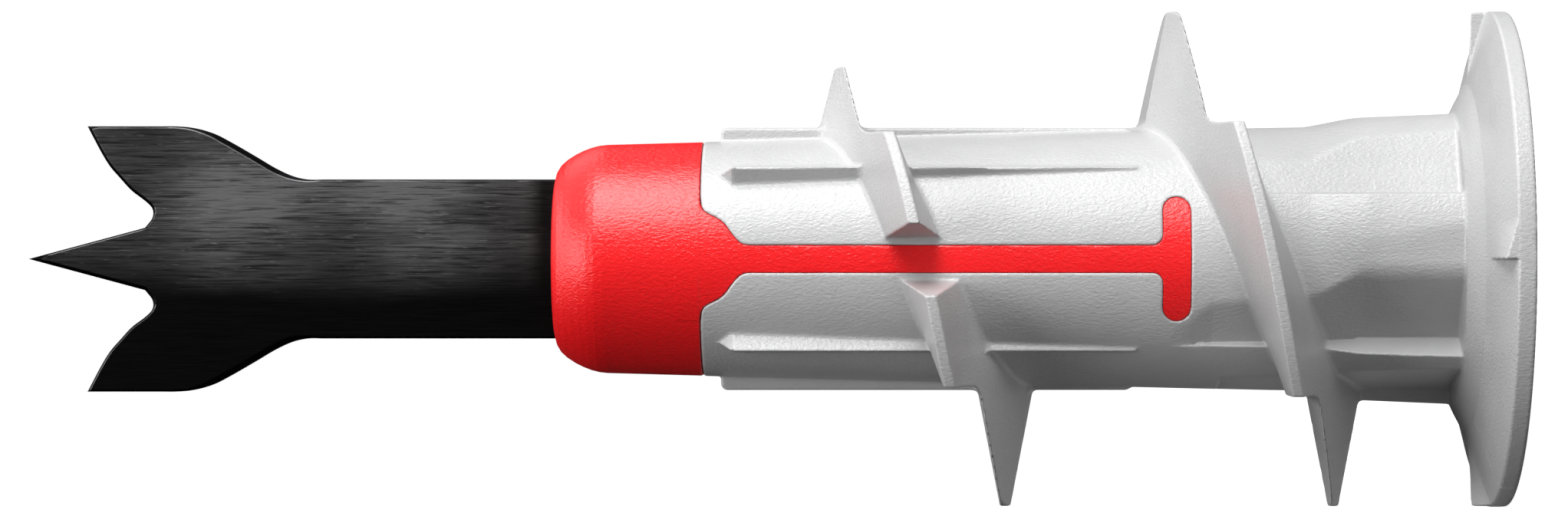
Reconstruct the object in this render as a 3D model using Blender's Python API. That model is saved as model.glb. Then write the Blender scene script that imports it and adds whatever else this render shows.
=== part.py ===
"""Self-drilling plasterboard anchor, standing on its flange.

A stamped steel drill blade is held in a red nose. The nose runs back along the
near and the far side of a grey threaded body as two thin strips, each ending in
a T. The body has a single coarse right-hand thread, longitudinal ribs, a neck
with a ratchet section and a flange with four ratchet teeth underneath.

Lengths below are in millimetres and are scaled to metres when a mesh is made.
The origin is the middle of the flange's outer face and +Z runs to the blade
tip. Clock angles are measured from +X towards -Y, the way the thread runs away
from the blade: 0 is the top of the blade plane, 90 the near strip.
"""

import math

import bmesh
import bpy
from mathutils import Matrix, Vector

MM = 0.001
GAP = 0.04  # play left between touching pieces
SEGMENTS = 96  # facets round every turned surface

# ---- overall
LENGTH = 44.0
FLANGE_RADIUS = 7.40
RIM_EDGE_Z = 0.50  # where the underside of the flange meets its rim
BODY_FRONT_Z = 23.90  # red meets grey
BODY_FRONT_RADIUS = 3.49

# ---- drill blade
BLADE_THICKNESS = 0.75
BLADE_HEAD_HALF = 3.96
BLADE_SHANK_HALF = 2.37
BLADE_CORNER_Z = 42.24
BLADE_TANG_Z = 24.30
BLADE_EDGE_BEVEL = 0.10
BLADE_SLOPE_BEVEL = 0.20

# ---- nose
NOSE_FRONT_Z = 28.315
SPIGOT_RADIUS = 2.71
SPIGOT_Z = 20.95

# ---- strips that run back from the nose
STRIP_HALF = 0.40
TBAR_LOW_Z = 9.58
TBAR_HIGH_Z = 10.40
TBAR_HALF = 1.81
TBAR_FILLET = 0.30

# ---- screw hole
MOUTH_RADIUS = 2.90
BORE_RADIUS = 2.15
BORE_FRONT_RADIUS = 1.95
BORE_STEP_Z = 9.0
RECESS_HALF_WIDTH = 0.55
RECESS_REACH = 3.10
RECESS_DEPTH = 3.2

# ---- thread: crest stations (clock angle, height), flank and cut planes
THREAD_CREST = ((0.0, 19.83), (180.0, 14.90), (360.0, 9.94), (540.0, 5.116))
THREAD_RADIUS = 7.374
THREAD_START_RADIUS = 5.68  # crest radius at clock angle 0, full at 180
THREAD_LAND_HALF = 0.16
THREAD_FLANK = 0.193  # axial run of a flank for each unit of height
THREAD_START_FLANK = 0.253
THREAD_ROOT = 3.00
LOBE_HALF_FRONT = 3.69  # the near and far lobes end at these planes
LOBE_HALF_REAR = 3.95
STRIP_CLEAR_ROOT = 0.64  # half-gap in a lobe where a strip passes under it
STRIP_CLEAR_CREST = 1.05

# ---- ribs
RIB_RADIUS = 3.905
RIB_HALF = 0.37
RIB_HIGH_Z = 23.36
RIB_LOW_Z = 11.15

# ---- neck ratchet: flats given by clock angle of the normal and distance from the axis
NECK_LOW_Z = 1.60
NECK_RUNOUT_Z = 8.95
NECK_STEP_HEIGHT = 1.92  # the first step is a plane at this height
NECK_STEP_ANGLE = 131.0


def polar(radius, clock):
    """The point at a clock angle, seen along the axis."""
    a = math.radians(clock)
    return radius * math.cos(a), -radius * math.sin(a)


def between(value, table):
    """Straight-line interpolation in rows of (key, value), keys rising."""
    for (k0, v0), (k1, v1) in zip(table, table[1:]):
        if value <= k1 or (k1, v1) == table[-1]:
            return v0 + (v1 - v0) * (value - k0) / (k1 - k0)
    return table[-1][1]


# The outer surface from the front of the grey body down to the flange face.
def outer_profile():
    tube = [
        (BODY_FRONT_RADIUS, BODY_FRONT_Z),
        (3.824, 11.01),
        (3.916, 7.12),
        (3.93, 5.98),
        (4.21, 4.56),
        (4.335, 1.63),
    ]
    flange = [
        (4.765, 1.41),
        (5.20, 1.175),
        (6.40, 0.85),
        (7.33, 0.55),
        (FLANGE_RADIUS, RIM_EDGE_Z),
        (FLANGE_RADIUS, 0.07),
        (FLANGE_RADIUS - 0.07, 0.0),
    ]
    return tube, flange


def tube_radius(z):
    tube, _ = outer_profile()
    return between(z, sorted((height, radius) for radius, height in tube))


def new_mesh_object(name, bm, helper=False):
    bmesh.ops.recalc_face_normals(bm, faces=bm.faces)
    mesh = bpy.data.meshes.new(name)
    bm.to_mesh(mesh)
    bm.free()
    obj = bpy.data.objects.new(name, mesh)
    bpy.context.scene.collection.objects.link(obj)
    if helper:
        obj.hide_render = True
        obj.display_type = "WIRE"
    return obj


def lathe(name, points, closed, helper=False, segments=SEGMENTS):
    """Turns (radius, height) points round the axis."""
    bm = bmesh.new()
    rings = []
    for radius, z in points:
        if radius < 1e-6:
            rings.append([bm.verts.new((0, 0, z * MM))])
            continue
        ring = []
        for i in range(segments):
            x, y = polar(radius, 360 * (i + 0.5) / segments)
            ring.append(bm.verts.new((x * MM, y * MM, z * MM)))
        rings.append(ring)
    pairs = list(zip(rings, rings[1:]))
    if closed:
        pairs.append((rings[-1], rings[0]))
    for a, b in pairs:
        for i in range(segments):
            j = (i + 1) % segments
            corners = []
            for vert in (a[i % len(a)], a[j % len(a)], b[j % len(b)], b[i % len(b)]):
                if vert not in corners:
                    corners.append(vert)
            bm.faces.new(corners)
    return new_mesh_object(name, bm, helper)


def prism(name, outline, along, low, high, helper=True):
    """An outline pushed from low to high: (x, z) points along y, or (x, y) points along z."""
    bm = bmesh.new()
    place = (lambda u, v, w: (u, w, v)) if along == "y" else (lambda u, v, w: (u, v, w))
    ends = []
    for w in (low, high):
        ends.append(
            [bm.verts.new(tuple(c * MM for c in place(u, v, w))) for u, v in outline]
        )
    bm.faces.new(ends[0])
    bm.faces.new(ends[1])
    for i in range(len(outline)):
        j = (i + 1) % len(outline)
        bm.faces.new((ends[0][i], ends[0][j], ends[1][j], ends[1][i]))
    return new_mesh_object(name, bm, helper)


def hull(name, points):
    bm = bmesh.new()
    for point in points:
        bm.verts.new(tuple(c * MM for c in point))
    made = bmesh.ops.convex_hull(bm, input=bm.verts)
    inside = [v for v in made["geom_interior"] if isinstance(v, bmesh.types.BMVert)]
    bmesh.ops.delete(bm, geom=inside, context="VERTS")
    return new_mesh_object(name, bm, True)


def boolean(obj, other, operation):
    modifier = obj.modifiers.new(other.name, "BOOLEAN")
    modifier.operation = operation
    modifier.object = other
    modifier.solver = "EXACT"


def grown(outline, by):
    """The outline with every side moved outwards."""
    area = sum(
        a[0] * b[1] - b[0] * a[1] for a, b in zip(outline, outline[1:] + outline[:1])
    )
    turn = 1 if area > 0 else -1
    result = []
    for i, point in enumerate(outline):
        before = Vector(outline[i - 1])
        here = Vector(point)
        after = Vector(outline[(i + 1) % len(outline)])
        n1 = (here - before).normalized()
        n2 = (after - here).normalized()
        n1 = Vector((n1.y, -n1.x)) * turn
        n2 = Vector((n2.y, -n2.x)) * turn
        middle = (n1 + n2).normalized()
        result.append(tuple(here + middle * by / max(middle.dot(n1), 0.5)))
    return result


def arc(cx, cz, radius, start, end, steps):
    """Points of an arc, angles in degrees."""
    points = []
    for i in range(steps + 1):
        a = math.radians(start + (end - start) * i / steps)
        points.append((cx + radius * math.cos(a), cz + radius * math.sin(a)))
    return points


def leg_outline():
    """One strip with its T and the flare where it leaves the nose, as (x, z)."""
    end = (TBAR_HIGH_Z - TBAR_LOW_Z) / 2
    middle = (TBAR_HIGH_Z + TBAR_LOW_Z) / 2
    half = [
        (1.80, BODY_FRONT_Z + 0.5),
        (1.80, BODY_FRONT_Z),
        (1.56, 23.87),
        (1.40, 23.79),
        (1.32, 23.68),
        (1.22, 23.49),
        (1.12, 23.29),
        (0.99, 23.15),
        (0.79, 23.00),
        (0.60, 22.86),
        (0.46, 22.72),
        (STRIP_HALF, 22.52),
    ]
    corner = TBAR_FILLET + STRIP_HALF
    half += arc(corner, TBAR_HIGH_Z + TBAR_FILLET, TBAR_FILLET, 180, 270, 5)
    half += arc(TBAR_HALF - end, middle, end, 90, -90, 10)
    return half + [(-x, z) for x, z in reversed(half)]


def crest_z(clock):
    return between(clock, THREAD_CREST)


def crest_radius(clock):
    ramp = (THREAD_RADIUS - THREAD_START_RADIUS) / 180
    return min(THREAD_RADIUS, THREAD_START_RADIUS + ramp * clock)


def flank(clock):
    share = min(max(clock / 180, 0), 1)
    return THREAD_START_FLANK + (THREAD_FLANK - THREAD_START_FLANK) * share


def make_thread():
    bm = bmesh.new()
    first, last, steps = -43.0, 583.0, 157
    sections = []
    for i in range(steps + 1):
        clock = first + (last - first) * i / steps
        top = crest_radius(clock)
        root_half = THREAD_LAND_HALF + flank(clock) * (top - THREAD_ROOT)
        middle = crest_z(clock)
        section = []
        for radius, dz in (
            (THREAD_ROOT, -root_half),
            (top, -THREAD_LAND_HALF),
            (top, THREAD_LAND_HALF),
            (THREAD_ROOT, root_half),
        ):
            x, y = polar(radius, clock)
            section.append(bm.verts.new((x * MM, y * MM, (middle + dz) * MM)))
        sections.append(section)
    for a, b in zip(sections, sections[1:]):
        for i in range(4):
            j = (i + 1) % 4
            bm.faces.new((a[i], a[j], b[j], b[i]))
    bm.faces.new(sections[0])
    bm.faces.new(sections[-1])
    thread = new_mesh_object("thread_sweep", bm, True)

    # Fins stand in the blade plane at each half turn. Beyond the lobes a fin is
    # kept only on its own side of the plane that runs through its flank.
    far = 9.0
    for number, (clock, z) in enumerate(THREAD_CREST):
        side = 1 if number % 2 == 0 else -1
        top = crest_radius(clock)
        start = LOBE_HALF_FRONT if number < 2 else LOBE_HALF_REAR
        for depth in (-1, 1):  # -1 is the near side, towards -Y
            # The near half loses what lies towards the flange on a top fin, and
            # what lies towards the blade on a bottom one. The far half is opposite.
            away = depth * side
            foot = start
            if (number, depth) in ((0, 1), (3, 1)):
                foot = 2.4  # the thread's two ends
            def edge(height):
                return z + away * (THREAD_LAND_HALF + flank(clock) * (top - height))
            reach = z + away * (4.4 if foot == start else 7.0)
            outline = [
                (side * foot, edge(foot)),
                (side * top, edge(top)),
                (side * far, edge(top)),
                (side * far, reach),
                (side * foot, reach),
            ]
            low, high = (-far, 0.0) if depth < 0 else (0.0, far)
            cut = prism(f"fin_cut_{number}_{'near' if depth < 0 else 'far'}", outline, "y", low, high)
            boolean(thread, cut, "DIFFERENCE")

    # A lobe is open where a strip passes under it.
    for name, clock, depth in (("near", 90, -1), ("far", 270, 1)):
        outline = []
        for radius, half in ((2.5, 0.52), (3.6, STRIP_CLEAR_ROOT), (6.6, STRIP_CLEAR_CREST), (8.2, 1.27)):
            outline.append((half, depth * radius))
        outline += [(-x, y) for x, y in reversed(outline)]
        middle = crest_z(clock)
        cut = prism(f"strip_clear_{name}", outline, "z", middle - 1.6, middle + 1.6)
        boolean(thread, cut, "DIFFERENCE")
    return thread


def flat_line(normal_clock, distance, clock):
    """Where a flat of the neck lies at a clock angle."""
    return polar(distance / math.cos(math.radians(clock - normal_clock)), clock)


def cut_neck(body):
    """Three flats on each half of the neck, with a step up after each."""
    high = NECK_RUNOUT_Z
    out = 5.6
    for turn in (0, 180):
        sign = 1 if turn == 0 else -1
        spin = lambda points: [(sign * x, sign * y) for x, y in points]
        # First flat, up to a step whose face is parallel to the blade's normal.
        start = 20.0
        end = 62.5
        first = [flat_line(55.5, 3.85, c) for c in (start, 40.0)]
        x_step = NECK_STEP_HEIGHT
        p0 = Vector(flat_line(55.5, 3.85, 50.0))
        p1 = Vector(flat_line(55.5, 3.85, end))
        t = (x_step - p0.x) / (p1.x - p0.x)
        last = p0 + (p1 - p0) * t
        outline = first + [tuple(last), (x_step, -out * 0.95), polar(out, 50), polar(out, start)]
        boolean(
            body,
            prism(f"neck_flat_a{turn}", spin(outline), "z", NECK_LOW_Z, high),
            "DIFFERENCE",
        )
        # Shallow flat that faces away from the blade plane.
        outline = [flat_line(91.0, 4.195, c) for c in (70.0, 100.0)]
        outline += [polar(out, 100.0), polar(out, 70.0)]
        boolean(
            body,
            prism(f"neck_flat_b{turn}", spin(outline), "z", NECK_LOW_Z, high),
            "DIFFERENCE",
        )
        # Deep flat up to a radial step, with a sloping run-out.
        angles = (92.0, NECK_STEP_ANGLE)
        rim = [polar(out, c) for c in reversed(angles)]
        bm = bmesh.new()
        levels = []
        for z, distance in (
            (NECK_LOW_Z, 3.55),
            (4.60, 3.55),
            (6.10, 3.66),
            (NECK_RUNOUT_Z, 3.69),
            (NECK_RUNOUT_Z + 1.35, 3.90),
        ):
            points = spin([flat_line(127.4, distance, c) for c in angles] + rim)
            levels.append([bm.verts.new((x * MM, y * MM, z * MM)) for x, y in points])
        for a, b in zip(levels, levels[1:]):
            for i in range(4):
                j = (i + 1) % 4
                bm.faces.new((a[i], a[j], b[j], b[i]))
        bm.faces.new(levels[0])
        bm.faces.new(levels[-1])
        boolean(body, new_mesh_object(f"neck_flat_c{turn}", bm, True), "DIFFERENCE")
        # Last flat, which ends at the blade plane.
        outline = [flat_line(167.0, 3.79, 133.5), flat_line(167.0, 3.79, 180.0)]
        outline += [polar(out, 180.0), polar(out, 150.0), polar(out, 133.5)]
        boolean(
            body,
            prism(f"neck_flat_d{turn}", spin(outline), "z", NECK_LOW_Z, 7.2),
            "DIFFERENCE",
        )


def add_ribs(body):
    for side in (1, -1):
        top = RIB_RADIUS
        outline = [
            (2.9, RIB_HIGH_Z),
            (top - 0.26, RIB_HIGH_Z),
            (top - 0.08, RIB_HIGH_Z - 0.08),
            (top, RIB_HIGH_Z - 0.26),
            (top, RIB_LOW_Z + 0.3),
            (top - 0.12, RIB_LOW_Z),
            (2.9, RIB_LOW_Z),
        ]
        rib = prism(
            f"rib_{'top' if side > 0 else 'bottom'}",
            [(side * x, z) for x, z in outline],
            "y",
            -RIB_HALF,
            RIB_HALF,
        )
        boolean(body, rib, "UNION")
    # Four corner ribs: the face away from the blade's normal is parallel to it.
    ridge_x = 2.70
    for side in (1, -1):
        for depth in (-1, 1):
            points = []
            for z, ridge_y in ((22.97, 3.06), (11.13, 2.85)):
                slope = 0.58  # fall of the inner face for each unit across
                inner_x = 1.60
                points += [
                    (side * ridge_x, depth * ridge_y, z),
                    (side * ridge_x, depth * 2.0, z),
                    (side * inner_x, depth * (ridge_y - slope * (ridge_x - inner_x)), z),
                    (side * inner_x, depth * 2.35, z),
                ]
            points.append((side * 2.40, depth * 2.40, 23.45))
            boolean(body, hull(f"rib_corner_{side}_{depth}", points), "UNION")


def add_teeth(body):
    """Four ratchet teeth under the flange: a short ramp, then a step."""
    for number, clock in enumerate((0, 90, 180, 270)):
        level = 1.01 if number % 2 == 0 else 0.89
        ramp = 9.5
        inner, edge = 5.30, FLANGE_RADIUS - 0.015
        points = []
        for radius, z in ((inner, 1.11), (edge, level)):
            points.append((*polar(radius, clock), z))
        for radius in (inner, edge):
            points.append((*polar(radius, clock), 0.25))
            points.append((*polar(radius, clock - ramp), 0.25))
        points.append((*polar(edge, clock - ramp), 0.49))
        points.append((*polar(inner, clock - ramp), 1.11))
        boolean(body, hull(f"tooth_{clock}", points), "UNION")


def make_body():
    tube, flange = outer_profile()
    inside = [
        (MOUTH_RADIUS, 0.0),
        (BORE_RADIUS, 0.75),
        (BORE_RADIUS, BORE_STEP_Z),
        (BORE_FRONT_RADIUS, BORE_STEP_Z + 0.3),
        (BORE_FRONT_RADIUS, SPIGOT_Z - GAP),
        (SPIGOT_RADIUS + GAP, SPIGOT_Z - GAP),
        (SPIGOT_RADIUS + GAP, BODY_FRONT_Z),
    ]
    front = [(BODY_FRONT_RADIUS - 0.04, BODY_FRONT_Z), (BODY_FRONT_RADIUS, BODY_FRONT_Z - 0.04)]
    body = lathe("anchor_body", inside + front + tube[1:] + flange, closed=True)
    cut_neck(body)
    add_teeth(body)
    add_ribs(body)
    boolean(body, make_thread(), "UNION")
    window = grown(leg_outline(), GAP)
    for name, low, high in (("near", -7.0, -1.0), ("far", 1.0, 7.0)):
        boolean(body, prism(f"window_{name}", window, "y", low, high), "DIFFERENCE")
    # Cross-shaped drive recess in the flange face.
    for name, along_x in (("x", True), ("y", False)):
        w, r = RECESS_HALF_WIDTH, RECESS_REACH
        corners = []
        for z, reach, half in ((-0.5, r, w), (0.3, r, w), (RECESS_DEPTH, BORE_RADIUS - 0.4, w * 0.7)):
            for a in (-1, 1):
                for b in (-1, 1):
                    x, y = (a * reach, b * half) if along_x else (b * half, a * reach)
                    corners.append((x, y, z))
        boolean(body, hull(f"recess_{name}", corners), "DIFFERENCE")
    return body


def make_nose():
    profile = [
        (0.0, SPIGOT_Z),
        (SPIGOT_RADIUS - 0.15, SPIGOT_Z),
        (SPIGOT_RADIUS, SPIGOT_Z + 0.15),
        (SPIGOT_RADIUS, BODY_FRONT_Z + GAP),
        (3.485, BODY_FRONT_Z + GAP),
        (3.414, 26.59),
        (3.407, 26.81),
        (3.373, 27.04),
        (3.304, 27.27),
        (3.213, 27.50),
        (3.087, 27.73),
        (2.949, 28.01),
        (2.766, 28.17),
        (2.583, 28.26),
        (2.354, NOSE_FRONT_Z),
        (0.0, NOSE_FRONT_Z),
    ]
    nose = lathe("nose_insert", profile, closed=False)
    # The legs fill the windows through the body's wall, flush outside and inside.
    levels = [BODY_FRONT_Z, 11.01, 9.0]
    wall = [(tube_radius(z), z) for z in levels]
    inner = BORE_FRONT_RADIUS + 0.02
    shell = [(inner, 9.0)] + list(reversed(wall)) + [(3.44, 23.95), (3.44, 25.0), (inner, 25.0)]
    leg = leg_outline()
    for name, low, high in (("near", -6.0, -1.2), ("far", 1.2, 6.0)):
        piece = prism(f"leg_{name}", leg, "y", low, high)
        boolean(piece, lathe(f"leg_shell_{name}", shell, closed=True, helper=True), "INTERSECT")
        boolean(nose, piece, "UNION")
    # Slot that holds the blade's tang.
    half = BLADE_SHANK_HALF + GAP
    thick = BLADE_THICKNESS / 2 + GAP
    slot = [
        (-half, BLADE_TANG_Z - GAP),
        (half, BLADE_TANG_Z - GAP),
        (half, NOSE_FRONT_Z + 1),
        (-half, NOSE_FRONT_Z + 1),
    ]
    boolean(nose, prism("blade_slot", slot, "y", -thick, thick), "DIFFERENCE")
    return nose


def blade_half():
    """Outline of one half of the blade from its tip to its tang, as (x, z)."""
    return [
        (0.93, 40.53),
        (1.05, 40.43),
        (1.20, 40.31),
        (1.36, 40.28),
        (1.52, 40.32),
        (1.69, 40.48),
        (2.04, 40.93),
        (2.42, 41.28),
        (2.73, 41.55),
        (3.02, 41.74),
        (BLADE_HEAD_HALF, BLADE_CORNER_Z),
        (BLADE_HEAD_HALF, 39.50),
        (3.91, 39.05),
        (3.74, 38.52),
        (3.50, 38.05),
        (2.66, 36.60),
        (2.46, 36.15),
        (BLADE_SHANK_HALF, 35.65),
        (BLADE_SHANK_HALF, BLADE_TANG_Z + 0.3),
        (BLADE_SHANK_HALF - 0.3, BLADE_TANG_Z),
    ]


def make_blade():
    right = blade_half()
    outline = [(0.0, LENGTH)] + right + [(-x, z) for x, z in reversed(right)]
    half = BLADE_THICKNESS / 2
    blade = prism("drill_blade", outline, "y", -half, half, helper=False)
    # Ground edges, on opposite faces of the two halves.
    bm = bmesh.new()
    bm.from_mesh(blade.data)
    ground, slopes = [], []
    for edge in bm.edges:
        a, b = (v.co / MM for v in edge.verts)
        if abs(a.y - b.y) > 1e-3:
            continue
        near = a.y < 0
        middle = (a + b) / 2
        right_side = middle.x > 0
        if middle.z > 40.5 and abs(middle.x) < 0.93 and right_side == near:
            ground.append(edge)
        if middle.z > 40.9 and 1.7 < abs(middle.x) < BLADE_HEAD_HALF - 1e-3 and right_side != near:
            ground.append(edge)
        if 35.7 < middle.z < 39.4 and abs(middle.x) < BLADE_HEAD_HALF - 1e-3 and right_side == near:
            slopes.append(edge)
    bmesh.ops.bevel(bm, geom=ground, offset=BLADE_EDGE_BEVEL * MM, segments=1, affect="EDGES")
    slopes = [e for e in slopes if e.is_valid]
    bmesh.ops.bevel(bm, geom=slopes, offset=BLADE_SLOPE_BEVEL * MM, segments=1, affect="EDGES")
    bmesh.ops.recalc_face_normals(bm, faces=bm.faces)
    bm.to_mesh(blade.data)
    bm.free()
    return blade


def material(name, colour, roughness, metallic):
    made = bpy.data.materials.new(name)
    made.use_nodes = True
    shader = made.node_tree.nodes["Principled BSDF"]
    shader.inputs["Base Color"].default_value = (*colour, 1.0)
    shader.inputs["Roughness"].default_value = roughness
    shader.inputs["Metallic"].default_value = metallic
    return made


def main():
    for obj in list(bpy.data.objects):
        bpy.data.objects.remove(obj, do_unlink=True)
    root = bpy.data.objects.new("anchor", None)
    bpy.context.scene.collection.objects.link(root)
    pieces = (
        (make_body(), material("grey_plastic", (0.62, 0.62, 0.63), 0.42, 0.0)),
        (make_nose(), material("red_plastic", (0.75, 0.02, 0.03), 0.40, 0.0)),
        (make_blade(), material("blackened_steel", (0.02, 0.02, 0.022), 0.38, 0.9)),
    )
    for obj, finish in pieces:
        obj.data.materials.append(finish)
        obj.data.shade_smooth()
        obj.data.set_sharp_from_angle(angle=math.radians(28))
        obj.parent = root
        obj.matrix_parent_inverse = Matrix.Identity(4)


main()
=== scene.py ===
"""Looks of the self-drilling plasterboard anchor.

The anchor stands on its flange. Clock angles are measured from +X towards -Y,
so 0 is the top of the photographed side view and 90 is its near side. Lengths
in the shape functions are in millimetres.
"""

import math

import bmesh
import bpy
import numpy as np
from mathutils import Matrix, Vector


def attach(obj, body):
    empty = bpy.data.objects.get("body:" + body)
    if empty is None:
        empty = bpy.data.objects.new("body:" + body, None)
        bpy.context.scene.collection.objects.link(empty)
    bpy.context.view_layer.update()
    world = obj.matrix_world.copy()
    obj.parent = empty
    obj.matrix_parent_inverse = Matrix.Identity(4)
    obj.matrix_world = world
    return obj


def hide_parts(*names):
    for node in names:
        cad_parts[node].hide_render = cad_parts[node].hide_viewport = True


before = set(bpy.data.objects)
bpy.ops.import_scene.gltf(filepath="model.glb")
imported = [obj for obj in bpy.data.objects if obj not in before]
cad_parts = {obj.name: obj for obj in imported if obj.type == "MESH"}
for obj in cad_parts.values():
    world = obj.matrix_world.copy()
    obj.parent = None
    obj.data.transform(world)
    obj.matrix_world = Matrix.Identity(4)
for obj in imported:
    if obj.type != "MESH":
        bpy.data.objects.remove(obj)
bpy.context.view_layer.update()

MM = 0.001
FAR = 9.0


# ---------------------------------------------------------------- distances
def smooth_max(a, b, k):
    """Intersection whose edge is rounded over a width k."""
    h = np.maximum(k - np.abs(a - b), 0.0)
    return np.maximum(a, b) + h * h * (0.25 / k)


def smooth_min(a, b, k):
    """Union whose inner corner is filled over a width k."""
    h = np.maximum(k - np.abs(a - b), 0.0)
    return np.minimum(a, b) - h * h * (0.25 / k)


def outline_distance(u, v, outline):
    """Signed distance to a closed outline, negative inside."""
    best = np.full(u.shape, 1e9, u.dtype)
    inside = np.zeros(u.shape, bool)
    for (ax, ay), (bx, by) in zip(outline, outline[1:] + outline[:1]):
        ex, ey = bx - ax, by - ay
        wx, wy = u - ax, v - ay
        t = np.clip((wx * ex + wy * ey) / (ex * ex + ey * ey), 0, 1)
        best = np.minimum(best, (wx - ex * t) ** 2 + (wy - ey * t) ** 2)
        if ey != 0:
            crosses = (ay > v) != (by > v)
            side = wx * ey - wy * ex
            inside ^= crosses & ((side < 0) == (ey > 0))
    best = np.sqrt(best)
    return np.where(inside, -best, best)


def smooth_table(points, sigma, step=0.02):
    """A table through (key, value) points with its corners rounded off."""
    keys = [p[0] for p in points]
    values = [p[1] for p in points]
    fine = np.arange(keys[0], keys[-1] + step, step)
    line = np.interp(fine, keys, values)
    reach = int(3 * sigma / step)
    weight = np.exp(-0.5 * (np.arange(-reach, reach + 1) * step / sigma) ** 2)
    weight /= weight.sum()
    slope0, slope1 = line[1] - line[0], line[-1] - line[-2]
    padded = np.concatenate(
        [
            line[0] - slope0 * np.arange(reach, 0, -1),
            line,
            line[-1] + slope1 * np.arange(1, reach + 1),
        ]
    )
    return fine.astype(np.float32), np.convolve(padded, weight, "valid").astype(np.float32)


def arc(cx, cz, radius, start, end, steps):
    angles = np.radians(np.linspace(start, end, steps + 1))
    return [(cx + radius * math.cos(a), cz + radius * math.sin(a)) for a in angles]


# ---------------------------------------------------------------- grey body
FLANGE_RADIUS = 7.385
BODY_FRONT_Z = 23.90
TUBE = smooth_table(
    [
        (-1.0, 4.36),
        (1.63, 4.335),
        (4.56, 4.21),
        (5.98, 3.93),
        (7.12, 3.916),
        (11.01, 3.824),
        (24.6, 3.472),
    ],
    0.16,
)
FLANGE = [
    (0.0, 0.0),
    (FLANGE_RADIUS - 0.07, 0.0),
    (FLANGE_RADIUS - 0.02, 0.02),
    (FLANGE_RADIUS, 0.07),
    (FLANGE_RADIUS, 0.46),
    (FLANGE_RADIUS - 0.02, 0.52),
    (FLANGE_RADIUS - 0.06, 0.55),
    (7.00, 0.66),
    (6.40, 0.85),
    (6.00, 0.955),
    (5.20, 1.175),
    (4.765, 1.41),
    (4.33, 1.62),
    (3.6, 1.66),
    (0.0, 1.66),
]
FRONT_LOBE = ((0.0, 19.83), (40.0, 18.735), (53.3, 18.372), (80.8, 17.662), (99.1, 17.183), (122.8, 16.636), (142.0, 15.99), (180.0, 14.90))
REAR_LOBE = ((360.0, 9.94), (400.0, 8.89), (417.7, 8.38), (429.6, 8.046), (449.4, 7.490), (469.4, 7.000), (482.4, 6.680), (502.0, 6.155), (540.0, 5.116))
CREST = smooth_table(
    [(-60.0, 21.47), (-20.0, 20.378)] + list(FRONT_LOBE) + [(270.0, 12.405)] + list(REAR_LOBE) + [(600.0, 3.51)],
    5.0,
    0.5,
)
CREST_RADIUS = 7.374
START_RADIUS = 5.68
LAND_HALF = 0.160
FINS = ((0.0, 19.83), (180.0, 14.90), (360.0, 9.94), (540.0, 5.116))


def crest_radius(clock):
    return np.minimum(CREST_RADIUS, START_RADIUS + (CREST_RADIUS - START_RADIUS) / 180 * clock)


def flank_run(clock):
    return 0.253 + (0.193 - 0.253) * np.clip(clock / 180, 0, 1)


def leg_outline():
    """One strip with its T and its flare, as (x, z)."""
    low, high, half_width, fillet, strip = 9.58, 10.40, 1.81, 0.30, 0.40
    end, middle = (high - low) / 2, (high + low) / 2
    half = [
        (1.80, 24.9),
        (1.80, 23.93),
        (1.72, 23.905),
        (1.56, 23.87),
        (1.43, 23.81),
        (1.34, 23.70),
        (1.24, 23.50),
        (1.14, 23.31),
        (1.00, 23.15),
        (0.79, 23.00),
        (0.60, 22.85),
        (0.48, 22.72),
        (0.42, 22.60),
        (strip, 22.46),
    ]
    corner = fillet + strip
    half += arc(corner, high + fillet, fillet, 180, 270, 5)
    half += arc(half_width - end, middle, end, 90, -90, 10)
    return half + [(-x, z) for x, z in reversed(half)]


LEG = leg_outline()


def leg_distance(x, z):
    """Distance to the strip's outline, worked out only where it matters."""
    result = np.maximum(np.abs(x) - 1.8, 9.58 - z)
    close = (np.abs(x) < 2.3) & (z > 9.1) & (z < 24.8)
    if close.any():
        result[close] = outline_distance(x[close], z[close], LEG)
    return result


def neck_distance(x, depth, z, radius):
    """The tube with the ratchet flats of its neck."""
    wall = radius - np.interp(z, *TUBE).astype(np.float32)
    close = (z < 11.5) & (wall > -1.9) & (wall < 1.2)
    if not close.any():
        return wall
    px, py, h, shape = x[close], depth[close], z[close], wall[close]
    for turn in (1, -1):
        qx, qy = px * turn, py * turn

        def plane(clock, distance):
            a = math.radians(clock)
            return qx * math.cos(a) + qy * math.sin(a) - distance

        ramp = np.interp(h, [4.6, 5.1, 5.6, 6.1, 8.95, 9.6, 10.0, 10.2], [3.55, 3.59, 3.64, 3.662, 3.69, 3.795, 3.844, 3.88]).astype(np.float32)
        near_flats = smooth_max(np.minimum(plane(91.0, 4.195), 1.92 - qx), plane(127.4, 0) - ramp, 0.20)
        cuts = (
            np.minimum(plane(55.5, 3.85), qx - 1.92),
            np.minimum(near_flats, -plane(131.0 + 90, 0)),
            np.minimum(np.minimum(plane(167.0, 3.79), qy), 8.6 - h),
        )
        for cut in cuts:
            shape = smooth_max(shape, cut, 0.05)
    wall[close] = shape
    return wall


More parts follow.
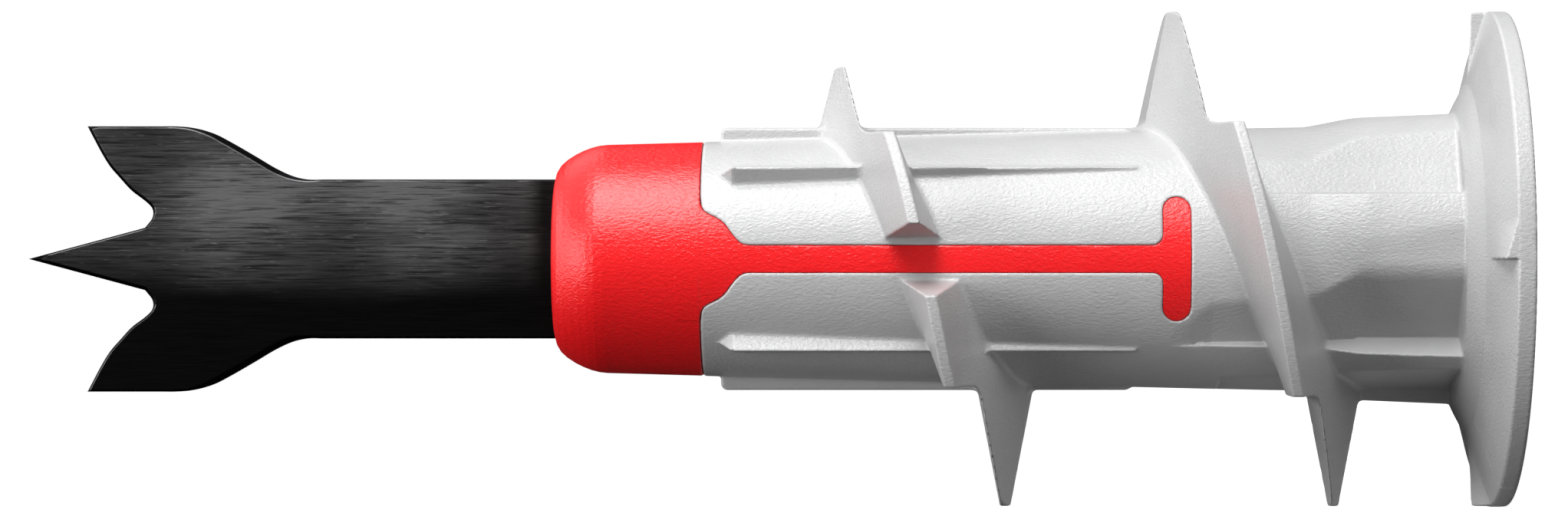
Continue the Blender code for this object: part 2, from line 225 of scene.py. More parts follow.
def rib_distance(x, depth, z):
    """Ribs at the top and the bottom, and four corner ribs."""
    ax, ay = np.abs(x), np.abs(depth)
    low, high, top, turn = 11.15, 23.37, 3.905, 0.20
    u = ax - (top - turn)
    v = np.abs(z - (low + high) / 2) - ((high - low) / 2 - turn)
    straight = np.sqrt(np.maximum(u, 0) ** 2 + np.maximum(v, 0) ** 2) + np.minimum(np.maximum(u, v), 0) - turn
    straight = smooth_max(straight, ay - 0.37, 0.10)
    ridge = 2.85 + (z - 11.13) * ((3.06 - 2.85) / 11.84)
    face = (ay - ridge + 0.58 * (2.70 - ax)) * 0.865
    corner = smooth_max(ax - 2.70, face, 0.06)
    corner = smooth_max(corner, (ax - 2.70) * 0.848 + (z - 22.97) * 0.530, 0.05)
    corner = smooth_max(corner, (ax - 2.70) * -0.379 + (ay - 3.06) * 0.651 + (z - 22.97) * 0.658, 0.05)
    corner = smooth_max(corner, 11.12 - z, 0.10)
    corner = np.maximum(corner, np.maximum(2.0 - ay, 1.5 - ax))
    return np.minimum(straight, corner)


def thread_distance(x, depth, z, radius):
    clock = np.degrees(np.arctan2(depth, x))
    clock = np.where(clock < 0, clock + 360, clock)
    result = np.full(x.shape, FAR, np.float32)
    for turn in (-1, 0, 1):
        at = clock + 360 * turn
        middle = np.interp(at, *CREST).astype(np.float32)
        close = (at > -48) & (at < 588) & (np.abs(z - middle) < 2.2) & (radius > 2.6)
        if not close.any():
            continue
        a, r, h = at[close], radius[close], z[close] - middle[close]
        top, run = crest_radius(a), flank_run(a)
        lead = 1.565 / np.maximum(r, 1.0)
        flank = (np.abs(h) - LAND_HALF - run * (top - r)) / np.sqrt(1 + run * run + lead * lead)
        ridge = smooth_max(flank, r - top, 0.05)
        px, py, pz = x[close], depth[close], z[close]
        for number, (fin_clock, fin_z) in enumerate(FINS):
            side = 1 if number % 2 == 0 else -1
            fin_top, fin_run = float(crest_radius(fin_clock)), float(flank_run(fin_clock))
            start = 3.69 if number < 2 else 3.95
            for near in (1, -1):
                foot = 2.4 if (number, near) in ((0, -1), (3, -1)) else start
                away = -near * side
                # Past its flank the fin is cut by a plane along the blade's normal.
                past = away * (pz - fin_z) - LAND_HALF - fin_run * (fin_top - side * px)
                past = past / math.sqrt(1 + fin_run * fin_run)
                allowed = smooth_min(side * px - foot, past, 0.30)
                touched = (py * near > 0) & (side * px > foot - 0.5) & (np.abs(pz - fin_z) < 4.4)
                ridge = np.where(touched, smooth_max(ridge, allowed, 0.05), ridge)
        for strip_clock, near in ((90.0, 1), (270.0, -1)):
            strip_z = float(np.interp(strip_clock, *CREST))
            half = 0.64 + 0.1367 * (py * near - 3.6)
            gap = (half - np.abs(px)) * 0.99
            touched = (py * near > 2.4) & (np.abs(pz - strip_z) < 2.0)
            ridge = np.where(touched, smooth_max(ridge, gap, 0.04), ridge)
        result[close] = np.minimum(result[close], ridge)
    return result


def teeth_distance(x, depth, z, radius):
    """Four ratchet teeth under the flange: a short ramp, then a step."""
    clock = np.degrees(np.arctan2(depth, x))
    result = np.full(x.shape, FAR, np.float32)
    flange_top = np.interp(radius, [5.2, 6.0, 6.4, 7.0, 7.33], [1.175, 0.955, 0.85, 0.66, 0.55]).astype(np.float32)
    for number, place in enumerate((0, 90, 180, -90)):
        crest_line = [1.11, 1.07, 1.03, 1.01] if number % 2 == 0 else [1.10, 1.04, 0.98, 0.89]
        behind = (clock - place + 180) % 360 - 180
        close = (behind > -25) & (behind < 15) & (radius > 5.0) & (z < 1.8)
        if not close.any():
            continue
        b, r, h, under = behind[close], radius[close], z[close], flange_top[close]
        crest = np.interp(r, [5.3, 6.0, 6.6, 7.4], crest_line).astype(np.float32)
        share = np.clip(-b / 9.5, 0, 1)
        surface = crest + (under - 0.02 - crest) * share
        along = r * np.radians(b)
        tooth = smooth_max(h - surface, along, 0.05)
        tooth = smooth_max(tooth, r - (FLANGE_RADIUS - 0.015), 0.05)
        tooth = np.maximum(tooth, 0.2 - h)
        result[close] = tooth
    return result


def hollow_distance(x, depth, z, radius):
    """Screw hole with its mouth, the socket for the nose and the drive recess."""
    bore = np.maximum(radius - 2.15, z - 9.0)
    bore = np.minimum(bore, np.maximum(radius - 1.95, z - 21.2))
    bore = np.minimum(bore, np.maximum(radius - 2.75, 20.91 - z))
    bore = smooth_min(bore, (radius + z - 2.9) * 0.7071, 0.08)
    w = 0.55 - 0.052 * z
    reach = 3.10 - np.clip((z - 0.3) / 2.9, 0, 1) * 1.35
    for a, b in ((x, depth), (depth, x)):
        arm = smooth_max(smooth_max(np.abs(a) - reach, np.abs(b) - w, 0.25), z - 3.2, 0.1)
        bore = smooth_min(bore, arm, 0.06)
    return bore


def body_distance(x, y, z):
    depth = -y
    radius = np.sqrt(x * x + y * y)
    shape = neck_distance(x, depth, z, radius)
    shape = smooth_min(shape, rib_distance(x, depth, z), 0.10)
    shape = smooth_max(shape, z - BODY_FRONT_Z, 0.11)
    shape = np.maximum(shape, 0.05 - z)
    flange = outline_distance(radius, z, FLANGE)
    flange = smooth_min(flange, teeth_distance(x, depth, z, radius), 0.05)
    shape = smooth_min(shape, flange, 0.12)
    shape = smooth_min(shape, thread_distance(x, depth, z, radius), 0.16)
    window = np.maximum(leg_distance(x, z), 1.5 - np.abs(y))
    shape = smooth_max(shape, 0.003 - window, 0.075)
    return smooth_max(shape, -hollow_distance(x, depth, z, radius), 0.06)


# ---------------------------------------------------------------- red nose
NOSE = [
    (0.0, 20.95),
    (2.60, 20.95),
    (2.71, 21.06),
    (2.71, 23.91),
    (3.485, 23.91),
    (3.450, 25.2),
    (3.414, 26.50),
    (3.407, 26.76),
    (3.380, 27.00),
    (3.322, 27.23),
    (3.230, 27.47),
    (3.110, 27.71),
    (2.955, 27.95),
    (2.790, 28.13),
    (2.600, 28.245),
    (2.354, 28.305),
    (0.0, 28.315),
]


def nose_distance(x, y, z):
    radius = np.sqrt(x * x + y * y)
    shape = outline_distance(radius, z, NOSE)
    wall = np.interp(z, *TUBE).astype(np.float32)
    sunk = np.interp(z, [22.3, 23.7], [0.026, 0.006]).astype(np.float32)
    leg = smooth_max(leg_distance(x, z), radius - wall + sunk, 0.02)
    leg = np.maximum(leg, np.maximum(1.97 - radius, 1.2 - np.abs(y)))
    leg = np.maximum(leg, z - 24.6)
    shape = smooth_min(shape, leg, 0.03)
    slot = smooth_max(np.abs(x) - 2.40, np.abs(y) - 0.40, 0.05)
    slot = np.maximum(slot, 24.26 - z)
    return smooth_max(shape, -slot, 0.10)


# ---------------------------------------------------------------- meshing
def evaluate(distance, points, batch=150000):
    result = np.empty(len(points), np.float32)
    for start in range(0, len(points), batch):
        part = points[start : start + batch].astype(np.float32)
        result[start : start + batch] = distance(part[:, 0].copy(), part[:, 1].copy(), part[:, 2].copy())
    return result


def slope(distance, points, step=0.012):
    found = np.empty((len(points), 3), np.float32)
    for axis in range(3):
        shift = np.zeros(3, np.float32)
        shift[axis] = step
        found[:, axis] = evaluate(distance, points + shift) - evaluate(distance, points - shift)
    return found / (2 * step)


def settle(distance, points, reach, rounds=2):
    """Moves points onto the surface, by at most reach a round."""
    for _ in range(rounds):
        value = evaluate(distance, points)
        direction = slope(distance, points)
        size = np.maximum((direction**2).sum(1), 0.05)
        move = direction * (value / size)[:, None]
        length = np.sqrt((move**2).sum(1))
        move *= np.minimum(1, reach / np.maximum(length, 1e-9))[:, None]
        points = points - move
    return points


def net(distance, low, high, cell, block=8):
    """Quads round every cell that the surface crosses."""
    low = np.array(low, np.float64)
    count = np.ceil((np.array(high) - low) / (cell * block)).astype(int)
    ids = np.stack(np.meshgrid(*(np.arange(n) for n in count), indexing="ij"), -1).reshape(-1, 3)
    centre = low + (ids + 0.5) * block * cell
    reach = 0.5 * math.sqrt(3) * block * cell
    ids = ids[np.abs(evaluate(distance, centre)) < reach * 1.2 + cell]
    side = block + 1
    steps = np.stack(np.meshgrid(*[np.arange(side)] * 3, indexing="ij"), -1).reshape(-1, 3)
    values = np.empty((len(ids), side, side, side), np.float32)
    for start in range(0, len(ids), 250):
        part = ids[start : start + 250]
        grid = low + (part[:, None, :] * block + steps[None]) * cell
        values[start : start + 250] = evaluate(distance, grid.reshape(-1, 3)).reshape(-1, side, side, side)
    inside = values < 0
    corners = [(i, j, k) for i in (0, 1) for j in (0, 1) for k in (0, 1)]

    def shifted(array, offset):
        i, j, k = offset
        return array[:, i : i + block, j : j + block, k : k + block]

    total = sum(shifted(inside, c).astype(np.uint8) for c in corners)
    b, i, j, k = np.nonzero((total > 0) & (total < 8))
    cells = ids[b] * block + np.stack([i, j, k], 1)
    span = count * block + 2
    key = ((cells[:, 0] + 1) * (span[1] + 2) + cells[:, 1] + 1) * (span[2] + 2) + cells[:, 2] + 1
    order = np.argsort(key)
    key, cells, b, i, j, k = key[order], cells[order], b[order], i[order], j[order], k[order]
    position = np.zeros((len(key), 3))
    hits = np.zeros(len(key))
    for c in corners:
        for axis in range(3):
            if c[axis]:
                continue
            d = list(c)
            d[axis] = 1
            v0 = values[b, i + c[0], j + c[1], k + c[2]]
            v1 = values[b, i + d[0], j + d[1], k + d[2]]
            crossed = (v0 < 0) != (v1 < 0)
            t = np.where(crossed, v0 / np.where(crossed, v0 - v1, 1), 0)
            point = np.tile(np.array(c, float), (len(key), 1))
            point[:, axis] += t
            position[crossed] += point[crossed]
            hits += crossed
    points = low + (cells + position / hits[:, None]) * cell
    quads = []
    for axis in range(3):
        ahead = [0, 0, 0]
        ahead[axis] = 1
        here, there = shifted(inside, (0, 0, 0)), shifted(inside, tuple(ahead))
        b2, i2, j2, k2 = np.nonzero(here != there)
        outward = here[b2, i2, j2, k2]
        base = ids[b2] * block + np.stack([i2, j2, k2], 1)
        u, v = (axis + 1) % 3, (axis + 2) % 3
        ring = []
        for du, dv in ((0, 0), (-1, 0), (-1, -1), (0, -1)):
            cell_at = base.copy()
            cell_at[:, u] += du
            cell_at[:, v] += dv
            wanted = ((cell_at[:, 0] + 1) * (span[1] + 2) + cell_at[:, 1] + 1) * (span[2] + 2) + cell_at[:, 2] + 1
            place = np.clip(np.searchsorted(key, wanted), 0, len(key) - 1)
            place = np.where(key[place] == wanted, place, -1)
            ring.append(place)
        ring = np.stack(ring, 1)
        ring[~outward] = ring[~outward][:, ::-1]
        quads.append(ring[(ring >= 0).all(1)])
    return points, np.concatenate(quads)


def mesh_from(name, points, faces):
    mesh = bpy.data.meshes.new(name)
    mesh.vertices.add(len(points))
    mesh.vertices.foreach_set("co", np.ascontiguousarray(points, np.float32).ravel())
    sides = faces.shape[1]
    mesh.loops.add(faces.size)
    mesh.loops.foreach_set("vertex_index", np.ascontiguousarray(faces, np.int32).ravel())
    mesh.polygons.add(len(faces))
    mesh.polygons.foreach_set("loop_start", np.arange(0, faces.size, sides, dtype=np.int32))
    mesh.update(calc_edges=True)
    mesh.validate()
    return mesh


def moulded(name, distance, low, high, cell, budget):
    """A piece with the surface of a distance function, thinned to a triangle budget."""
    points, quads = net(distance, low, high, cell)
    points = settle(distance, points.astype(np.float32), 0.5 * cell)
    obj = bpy.data.objects.new(name, mesh_from(name, points, quads))
    bpy.context.scene.collection.objects.link(obj)
    full = 2 * len(quads)
    if full > budget:
        thin = obj.modifiers.new("thin", "DECIMATE")
        thin.ratio = budget / full
        thin.use_collapse_triangulate = True
        bpy.context.view_layer.update()
        made = bpy.data.meshes.new_from_object(obj.evaluated_get(bpy.context.evaluated_depsgraph_get()))
        obj.modifiers.clear()
        old, obj.data = obj.data, made
        bpy.data.meshes.remove(old)
    mesh = obj.data
    mesh.name = name
    count = len(mesh.vertices)
    co = np.empty(count * 3, np.float32)
    mesh.vertices.foreach_get("co", co)
    co = settle(distance, co.reshape(-1, 3), 0.3 * cell, 1)
    co[:, 2] = np.maximum(co[:, 2], 0.0)
    normal = slope(distance, co)
    normal /= np.maximum(np.sqrt((normal**2).sum(1)), 1e-6)[:, None]
    mesh.vertices.foreach_set("co", (co * MM).ravel())
    mesh.polygons.foreach_set("use_smooth", np.ones(len(mesh.polygons), bool))
    mesh.update()
    mesh.normals_split_custom_set_from_vertices(normal.tolist())
    return obj


# ---------------------------------------------------------------- drill blade
BLADE_HALF_THICKNESS = 0.375
TIP = (0.0, 43.995)
POINT_EDGE_END = (0.93, 40.53)
NOTCH = [
    (0.93, 40.53),
    (1.05, 40.43),
    (1.20, 40.32),
    (1.36, 40.28),
    (1.52, 40.32),
    (1.69, 40.48),
    (2.04, 40.93),
    (2.42, 41.28),
    (2.73, 41.55),
    (3.02, 41.74),
    (3.955, 42.24),
]
FLANK = [
    (3.955, 42.24),
    (3.955, 41.90),
    (3.955, 40.00),
    (3.955, 39.62),
    (3.91, 39.10),
    (3.74, 38.52),
    (3.50, 38.05),
    (3.08, 37.32),
    (2.66, 36.60),
    (2.46, 36.13),
    (2.37, 35.65),
    (2.37, 35.20),
    (2.37, 34.90),
    (2.37, 24.95),
    (2.37, 24.65),
    (2.07, 24.32),
]


def spline(points, spacing):
    """Evenly spaced points on a smooth curve through the given ones."""
    p = np.array(points, float)
    p = np.vstack([2 * p[0] - p[1], p, 2 * p[-1] - p[-2]])
    result = []
    for i in range(1, len(p) - 2):
        a, b, c, d = p[i - 1], p[i], p[i + 1], p[i + 2]
        gap = np.linalg.norm(c - b)
        # Tangents weighted by length, so uneven spacing leaves no wiggle.
        m1 = ((b - a) / np.linalg.norm(b - a) + (c - b) / gap) / 2 * gap
        m2 = ((c - b) / gap + (d - c) / np.linalg.norm(d - c)) / 2 * gap
        steps = max(1, int(round(gap / spacing)))
        for s in range(steps):
            t = s / steps
            t2, t3 = t * t, t * t * t
            result.append((2 * t3 - 3 * t2 + 1) * b + (t3 - 2 * t2 + t) * m1 + (3 * t2 - 2 * t3) * c + (t3 - t2) * m2)
    result.append(p[-2])
    return [tuple(q) for q in result]


def blade_rim(x, z, part):
    """The near face's rim: dark chamfer width and depth, then the rubbed ring's width, drop and finish."""
    if part == "point":
        return (0.036, 0.035, 0.024, 0.009, "bare") if x > 0 else (0.095, 0.060, 0.030, 0.006, "face")
    if part == "notch":
        share = float(np.interp(abs(x), [0.93, 1.22, 1.50, 1.9], [0, 0, 1, 1]))
        if x > 0:
            ring = float(np.interp(x, [0.93, 1.20], [0.024, 0.020]))
            return 0.040 + 0.045 * share, 0.040 + 0.020 * share, ring, 0.4 * ring, ("bare" if x < 1.14 else "face")
        ring = float(np.interp(-x, [1.30, 1.50, 2.0, 3.9], [0.020, 0.026, 0.028, 0.024]))
        return 0.095 - 0.055 * share, 0.060 - 0.020 * share, ring, 0.42 * ring, ("bare" if x < -1.40 else "face")
    if x > 0:
        wide = float(np.interp(z, [35.4, 36.0, 36.6, 38.2, 38.9, 39.5], [0.036, 0.075, 0.112, 0.118, 0.075, 0.036]))
        ring = float(np.interp(z, [35.3, 35.9, 38.9, 39.6], [0.020, 0.032, 0.032, 0.028]))
        return wide, 0.035 + 0.75 * (wide - 0.036), ring, (0.38 if z > 35.3 else 0.20) * ring, ("bare" if 35.3 < z < 39.3 else "face")
    wide = float(np.interp(z, [35.4, 36.2, 38.5, 39.3], [0.045, 0.15, 0.15, 0.045]))
    return wide, 0.035 + 0.25 * (wide - 0.045), 0.025, 0.006, "face"


def blade_outline():
    """The whole outline, anticlockwise in (x, z), with the part each point is on."""
    right = [(TIP, "point")]
    # No points close to the tip, where the ground rims of both sides meet.
    for t in np.linspace(0.17, 1.0, 20)[:-1]:
        right.append(((TIP[0] + (POINT_EDGE_END[0] - TIP[0]) * t, TIP[1] + (POINT_EDGE_END[1] - TIP[1]) * t), "point"))
    corner = Vector(FLANK[0])
    clear = lambda q: (Vector(q) - corner).length > 0.30
    right += [(p, "notch") for p in spline(NOTCH, 0.07) if clear(p)]
    right.append((FLANK[0], "notch"))
    right += [(p, "flank") for p in spline(FLANK, 0.09) if clear(p)]
    left = [((-x, z), part) for (x, z), part in reversed(right[1:])]
    return right + left


def make_blade():
    outline = blade_outline()
    count = len(outline)
    points = [Vector(p) for p, _ in outline]
    # The outline runs clockwise from the tip, so the inside lies to the right.
    inward = []
    for i, here in enumerate(points):
        before, after = points[i - 1], points[(i + 1) % count]
        a, b = (here - before).normalized(), (after - here).normalized()
        na, nb = Vector((a.y, -a.x)), Vector((b.y, -b.x))
        middle = (na + nb).normalized()
        inward.append(-middle / max(middle.dot(na), 0.22))
    centre = Vector((0, 36))
    if (points[10] + inward[10] - centre).length > (points[10] - centre).length:
        inward = [-v for v in inward]
    finishes = ["face", "dark", "bare"]
    bm = bmesh.new()
    half = BLADE_HALF_THICKNESS
    rings = []
    for side in (-1, 1):  # -1 is the near face
        wall, edge, face, kinds = [], [], [], []
        for (x, z), v, (_, part) in zip([tuple(p) for p in points], inward, outline):
            wide, deep, ring, drop, kind = blade_rim(x * -side, z, part)
            wall.append(bm.verts.new((x * MM, side * (half - deep - drop) * MM, z * MM)))
            p = Vector((x, z)) + v * wide
            q = Vector((x, z)) + v * (wide + ring)
            edge.append(bm.verts.new((p.x * MM, side * (half - drop) * MM, p.y * MM)))
            face.append(bm.verts.new((q.x * MM, side * half * MM, q.y * MM)))
            kinds.append(kind)
        rings.append((wall, edge, face, kinds))
    flats = []
    for side, (wall, edge, face, kinds) in zip((-1, 1), rings):
        for i in range(count):
            j = (i + 1) % count
            made = bm.faces.new((wall[i], wall[j], edge[j], edge[i]))
            made.material_index = finishes.index("dark")
            made = bm.faces.new((edge[i], edge[j], face[j], face[i]))
            made.material_index = finishes.index(kinds[i])
        made = bm.faces.new(face)
        made.material_index = 0
        flats.append(made)
    for i in range(count):
        j = (i + 1) % count
        made = bm.faces.new((rings[0][0][i], rings[0][0][j], rings[1][0][j], rings[1][0][i]))
        made.material_index = 1
    bmesh.ops.recalc_face_normals(bm, faces=bm.faces)
    for line in bm.edges:
        line.smooth = line.calc_face_angle() < math.radians(25)
    for flat in flats:
        for line in flat.edges:
            line.smooth = False
    bmesh.ops.triangulate(bm, faces=[f for f in bm.faces if len(f.verts) > 4])
    mesh = bpy.data.meshes.new("drill_blade_steel")
    bm.to_mesh(mesh)
    bm.free()
    obj = bpy.data.objects.new("drill_blade_steel", mesh)
    bpy.context.scene.collection.objects.link(obj)
    mesh.polygons.foreach_set("use_smooth", np.ones(len(mesh.polygons), bool))
    return obj


# ---------------------------------------------------------------- materials
class Nodes:
    """Small helper that adds linked nodes to a material."""

    def __init__(self, name):
        self.material = bpy.data.materials.new(name)
        self.material.use_nodes = True
        self.tree = self.material.node_tree
        self.shader = self.tree.nodes["Principled BSDF"]
        place = self.add("ShaderNodeTexCoord")
        self.place = self.add("ShaderNodeMapping")
        self.place.inputs["Scale"].default_value = (1000, 1000, 1000)
        self.link(place.outputs["Object"], self.place.inputs["Vector"])
        self.mm = self.place.outputs["Vector"]

    def add(self, kind, **settings):
        node = self.tree.nodes.new(kind)
        for key, value in settings.items():
            setattr(node, key, value)
        return node

    def link(self, a, b):
        self.tree.links.new(a, b)

    def stretched(self, scale):
        node = self.add("ShaderNodeMapping")
        node.inputs["Scale"].default_value = scale
        self.link(self.mm, node.inputs["Vector"])
        return node.outputs["Vector"]

    def noise(self, scale, detail=2.0, roughness=0.5, distortion=0.0, vector=None):
        node = self.add("ShaderNodeTexNoise")
        node.inputs["Scale"].default_value = scale
        node.inputs["Detail"].default_value = detail
        node.inputs["Roughness"].default_value = roughness
        node.inputs["Distortion"].default_value = distortion
        self.link(vector or self.mm, node.inputs["Vector"])
        return node.outputs["Fac"]

    def cells(self, scale, feature="SMOOTH_F1", vector=None):
        node = self.add("ShaderNodeTexVoronoi", feature=feature)
        node.inputs["Scale"].default_value = scale
        if feature == "SMOOTH_F1":
            node.inputs["Smoothness"].default_value = 0.6
        self.link(vector or self.mm, node.inputs["Vector"])
        return node.outputs["Distance"]

    def math(self, operation, a, b=None, c=None):
        node = self.add("ShaderNodeMath", operation=operation)
        for socket, value in zip(node.inputs, (a, b, c)):
            if value is None:
                continue
            if isinstance(value, (int, float)):
                socket.default_value = value
            else:
                self.link(value, socket)
        return node.outputs[0]

    def ramp(self, value, low, high, to_low, to_high, smooth=False):
        node = self.add("ShaderNodeMapRange")
        node.interpolation_type = "SMOOTHSTEP" if smooth else "LINEAR"
        self.link(value, node.inputs["Value"])
        for key, number in (("From Min", low), ("From Max", high), ("To Min", to_low), ("To Max", to_high)):
            node.inputs[key].default_value = number
        return node.outputs["Result"]

    def blend(self, factor, a, b):
        node = self.add("ShaderNodeMix", data_type="RGBA")
        self.link(factor, node.inputs["Factor"])
        for socket, value in ((node.inputs["A"], a), (node.inputs["B"], b)):
            if isinstance(value, tuple):
                socket.default_value = (*value, 1.0)
            else:
                self.link(value, socket)
        return node.outputs["Result"]

    def bump(self, height, distance, strength=1.0, normal=None):
        node = self.add("ShaderNodeBump")
        node.inputs["Strength"].default_value = strength
        node.inputs["Distance"].default_value = distance
        self.link(height, node.inputs["Height"])
        if normal is not None:
            self.link(normal, node.inputs["Normal"])
        return node.outputs["Normal"]

    def set(self, **values):
        for key, value in values.items():
            socket = self.shader.inputs[key.replace("_", " ")]
            if isinstance(value, (int, float)):
                socket.default_value = value
            elif isinstance(value, tuple):
                socket.default_value = (*value, 1.0)
            else:
                self.link(value, socket)


def plastic(name, light, dark, rough, grain):
    """Moulded plastic with the fine leathery grain of an eroded mould."""
    n = Nodes(name)
    coarse = n.noise(0.9, 3.0, 0.55)
    drawn = n.stretched((15.5, 15.5, 9.0))
    ripple = n.noise(1.0, 1.5, 0.5, 0.4, drawn)
    leather = n.cells(0.70, "SMOOTH_F1", drawn)
    fine = n.noise(2.0, 1.0, 0.5, 0.2, drawn)
    height = n.math("ADD", n.math("MULTIPLY", ripple, 1.0), n.math("MULTIPLY", leather, 0.45))
    height = n.math("ADD", height, n.math("MULTIPLY", fine, 0.30))
    n.set(
        Base_Color=n.blend(n.ramp(coarse, 0.3, 0.7, 0, 1), dark, light),
        Roughness=n.ramp(fine, 0.3, 0.7, rough - 0.03, rough + 0.04),
        IOR=1.475,
        Normal=n.bump(height, grain, 1.0),
    )
    return n


def blade_steel(name):
    """Blackened steel, brushed along its length, with painted sheen: one half of each face is painted lighter, where
    the lights fall on it.
    """
    n = Nodes(name)
    axes = n.add("ShaderNodeSeparateXYZ")
    n.link(n.mm, axes.inputs["Vector"])
    across, along = axes.outputs["X"], axes.outputs["Z"]
    streak = n.noise(1.0, 3.0, 0.6, 0.10, n.stretched((11.0, 11.0, 0.50)))
    hair = n.noise(1.0, 3.0, 0.65, 0.0, n.stretched((21.0, 21.0, 0.8)))
    scuff = n.noise(1.0, 2.0, 0.6, 0.2, n.stretched((15.0, 15.0, 2.2)))
    patch = n.noise(1.0, 2.0, 0.5, 0.3, n.stretched((0.45, 0.45, 0.22)))
    # The faces are told apart by their side, because one is the other turned by half a turn.
    facing = n.math("SIGN", axes.outputs["Y"])
    upper = n.math("MULTIPLY", across, n.math("MULTIPLY", facing, -1.0))
    waved = n.math("ADD", upper, n.math("MULTIPLY", n.math("SUBTRACT", patch, 0.5), 1.4))
    # Painted sheen: the upper half of the face is painted lighter, where the lights fall on it.
    painted_sheen = n.ramp(waved, -1.35, 1.50, 0.0, 1.0, smooth=True)
    # The painted sheen fades again at the top edge.
    top = n.ramp(upper, 1.6, 3.9, 1.0, 0.42, smooth=True)
    # Painted sheen in soft patches.
    sheen = n.ramp(n.noise(1.0, 2.0, 0.5, 0.0, n.stretched((0.55, 0.55, 0.15))), 0.36, 0.64, 0.50, 1.35)
    # Painted shade: the face is painted darker next to the nose.
    root = n.ramp(along, 28.6, 29.3, 0.12, 1.0, smooth=True)
    # The painted sheen fades towards the point.
    sheen_head_fade = n.ramp(along, 34.5, 41.5, 1.0, 0.66, smooth=True)
    painted_sheen = n.math("MULTIPLY", n.math("MULTIPLY", painted_sheen, top), n.math("MULTIPLY", root, sheen_head_fade))
    # Painted reflection: the face is painted lighter in two bands along the blade.
    sheen_bands = n.math("COSINE", n.math("MULTIPLY", n.math("SUBTRACT", along, 32.3), 2 * math.pi / 5.6))
    painted_sheen = n.math("MULTIPLY", painted_sheen, n.math("MULTIPLY_ADD", sheen_bands, 0.30, 1.05))
    painted_sheen = n.math("MULTIPLY", painted_sheen, sheen)
    marks = n.math("ADD", n.math("MULTIPLY", streak, 0.5), n.math("MULTIPLY", hair, 0.5))
    lines = n.ramp(marks, 0.39, 0.60, 0.15, 1.15)
    bright = n.ramp(scuff, 0.62, 0.74, 0.0, 0.8)
    tone = n.math("MULTIPLY", painted_sheen, n.math("ADD", lines, bright))
    n.set(
        Base_Color=n.blend(tone, (0.0012, 0.0012, 0.0013), (0.192, 0.192, 0.194)),
        Metallic=0.9,
        Roughness=n.ramp(marks, 0.35, 0.65, 0.50, 0.38),
        Normal=n.bump(marks, 0.000010, 0.8),
    )
    return n


def edge_steel(name, colour, rough):
    n = Nodes(name)
    hair = n.noise(1.0, 3.0, 0.6, 0.0, n.stretched((22.0, 22.0, 6.0)))
    n.set(
        Base_Color=n.blend(n.ramp(hair, 0.3, 0.7, 0, 1), tuple(c * 0.7 for c in colour), colour),
        Metallic=1.0,
        Roughness=n.ramp(hair, 0.3, 0.7, rough - 0.05, rough + 0.08),
        Normal=n.bump(hair, 0.000004, 0.6),
    )
    return n


def matte(name, colour, rough=0.8):
    n = Nodes(name)
    speck = n.noise(0.05, 4.0, 0.6)
    n.set(
        Base_Color=n.blend(n.ramp(speck, 0.3, 0.7, 0, 1), tuple(c * 0.985 for c in colour), colour),
        Roughness=n.ramp(speck, 0.3, 0.7, rough, rough + 0.1),
    )
    return n


# ---------------------------------------------------------------- pieces
grey = plastic("grey_moulded", (0.440, 0.440, 0.442), (0.418, 0.418, 0.421), 0.31, 0.000014)
red = plastic("red_moulded", (0.79, 0.0100, 0.0125), (0.76, 0.0090, 0.0115), 0.31, 0.000015)
black = blade_steel("blackened_brushed")
dark = edge_steel("blackened_edge", (0.004, 0.004, 0.0045), 0.34)
bare = edge_steel("bare_edge", (0.080, 0.080, 0.082), 0.36)

body = moulded("threaded_body", body_distance, (-7.7, -7.7, -0.3), (7.7, 7.7, 24.3), 0.065, 190000)
nose = moulded("red_nose", nose_distance, (-4.2, -4.2, 9.2), (4.2, 4.2, 28.7), 0.055, 90000)
blade = make_blade()
for obj, node, slot, finishes in (
    (body, "anchor_body", "grey_plastic", (grey,)),
    (nose, "nose_insert", "red_plastic", (red,)),
    (blade, "drill_blade", "blackened_steel", (black, dark, bare)),
):
    for finish in finishes:
        obj.data.materials.append(finish.material)
    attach(obj, "root")
    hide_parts(node)

# ---------------------------------------------------------------- floor, light, camera
floor_mesh = bpy.data.meshes.new("floor")
corner = 1.2
floor_mesh.from_pydata([(-corner, -corner, 0), (corner, -corner, 0), (corner, corner, 0), (-corner, corner, 0)], [], [(0, 1, 2, 3)])
floor = bpy.data.objects.new("floor", floor_mesh)
bpy.context.scene.collection.objects.link(floor)
pale = matte("floor_pale", (0.26, 0.26, 0.26))
pale_sight = pale.add("ShaderNodeLightPath")
reach = pale.add("ShaderNodeVectorMath", operation="LENGTH")
pale.link(pale.mm, reach.inputs[0])
glow = pale.ramp(reach.outputs["Value"], 60.0, 320.0, 0.86, 1.0, smooth=True)
pale.set(Emission_Color=(1.0, 1.0, 1.0), Emission_Strength=pale.math("MULTIPLY", pale_sight.outputs["Is Camera Ray"], glow))
floor_mesh.materials.append(pale.material)

world = bpy.data.worlds.new("studio")
bpy.context.scene.world = world
world.use_nodes = True
tree = world.node_tree
background = tree.nodes["Background"]
background.inputs["Color"].default_value = (1, 1, 1, 1)
sight = tree.nodes.new("ShaderNodeLightPath")
strength = tree.nodes.new("ShaderNodeMix")
tree.links.new(sight.outputs["Is Camera Ray"], strength.inputs["Factor"])
strength.inputs["A"].default_value = 0.01
strength.inputs["B"].default_value = 1.0
tree.links.new(strength.outputs["Result"], background.inputs["Strength"])


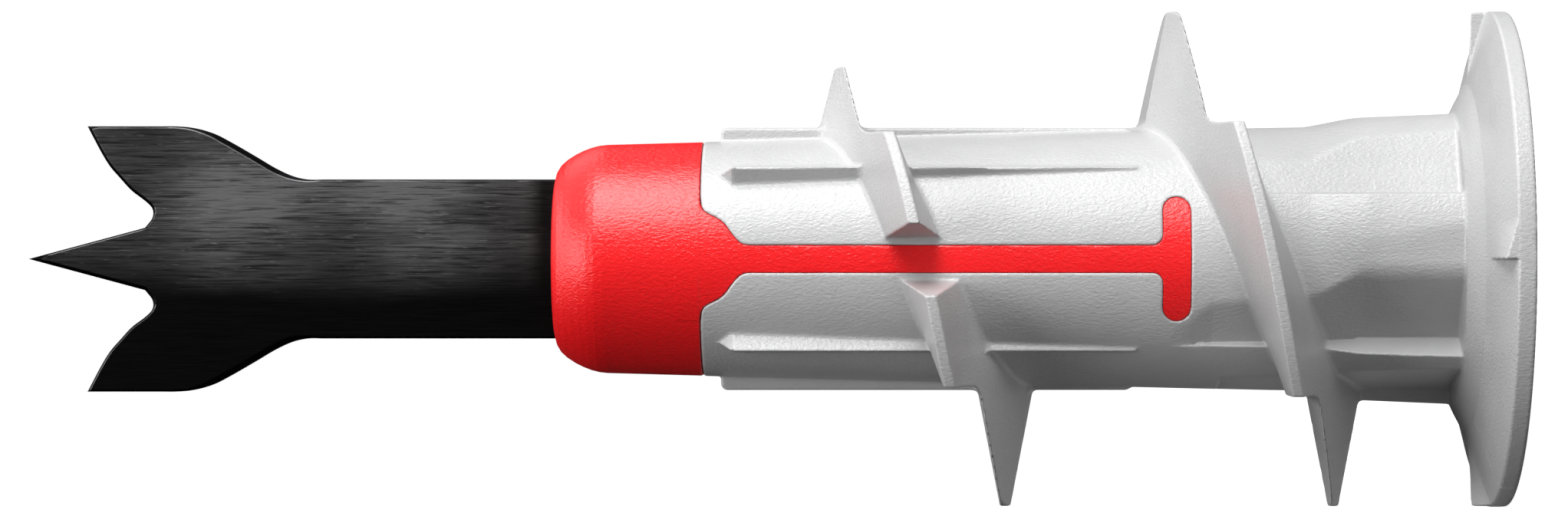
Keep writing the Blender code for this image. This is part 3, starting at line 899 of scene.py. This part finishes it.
def softbox(name, centre, target, size, power, colour=(1, 1, 1)):
    data = bpy.data.lights.new(name, "AREA")
    data.shape = "RECTANGLE"
    data.size, data.size_y = size
    data.energy = power
    data.color = colour
    obj = bpy.data.objects.new(name, data)
    bpy.context.scene.collection.objects.link(obj)
    back = (Vector(centre) - Vector(target)).normalized()
    across = Vector((0, 0, 1)).cross(back)
    across = across.normalized() if across.length > 1e-3 else Vector((1, 0, 0))
    up = back.cross(across)
    obj.matrix_world = Matrix(((across.x, up.x, back.x, centre[0]), (across.y, up.y, back.y, centre[1]), (across.z, up.z, back.z, centre[2]), (0, 0, 0, 1)))
    return obj


aim = (0, 0, 0.020)
softbox("key_box", (0.2350, -0.1270, 0.0720), aim, (0.26, 0.14), 1.24)
softbox("left_box", (0.0200, -0.1700, 0.2300), aim, (0.13, 0.13), 0.40)
softbox("tip_box", (0.0400, 0.0050, 0.3100), aim, (0.22, 0.22), 0.50)
softbox("crown_box", (0.1750, 0.0200, 0.2300), aim, (0.15, 0.15), 0.08)
softbox("low_box", (-0.1029, -0.0735, 0.2698), aim, (0.14, 0.14), 0.015)
softbox("back_box", (0.1900, 0.1700, 0.1200), aim, (0.14, 0.14), 0.09)
softbox("rear_box", (0.0500, 0.1650, 0.2500), aim, (0.16, 0.16), 0.10)

camera_data = bpy.data.cameras.new("camera")
camera = bpy.data.objects.new("camera", camera_data)
bpy.context.scene.collection.objects.link(camera)
SCALE = 43.67  # image pixels for each millimetre in the blade's plane
DISTANCE = 6300 / SCALE * MM
camera_data.sensor_width = 36
camera_data.lens = 36 * 6300 / 2044
camera_data.shift_x = (1022 - 1150) / 2044
camera_data.clip_start = 0.01
camera_data.clip_end = 10
camera.matrix_world = Matrix(
    (
        (0, 1, 0, (337.8 - 336.5) / SCALE * MM),
        (0, 0, -1, -DISTANCE),
        (-1, 0, 0, (1961 - 1150) / SCALE * MM),
        (0, 0, 0, 1),
    )
)
bpy.context.scene.camera = camera
bpy.context.scene.view_settings.view_transform = "Standard"
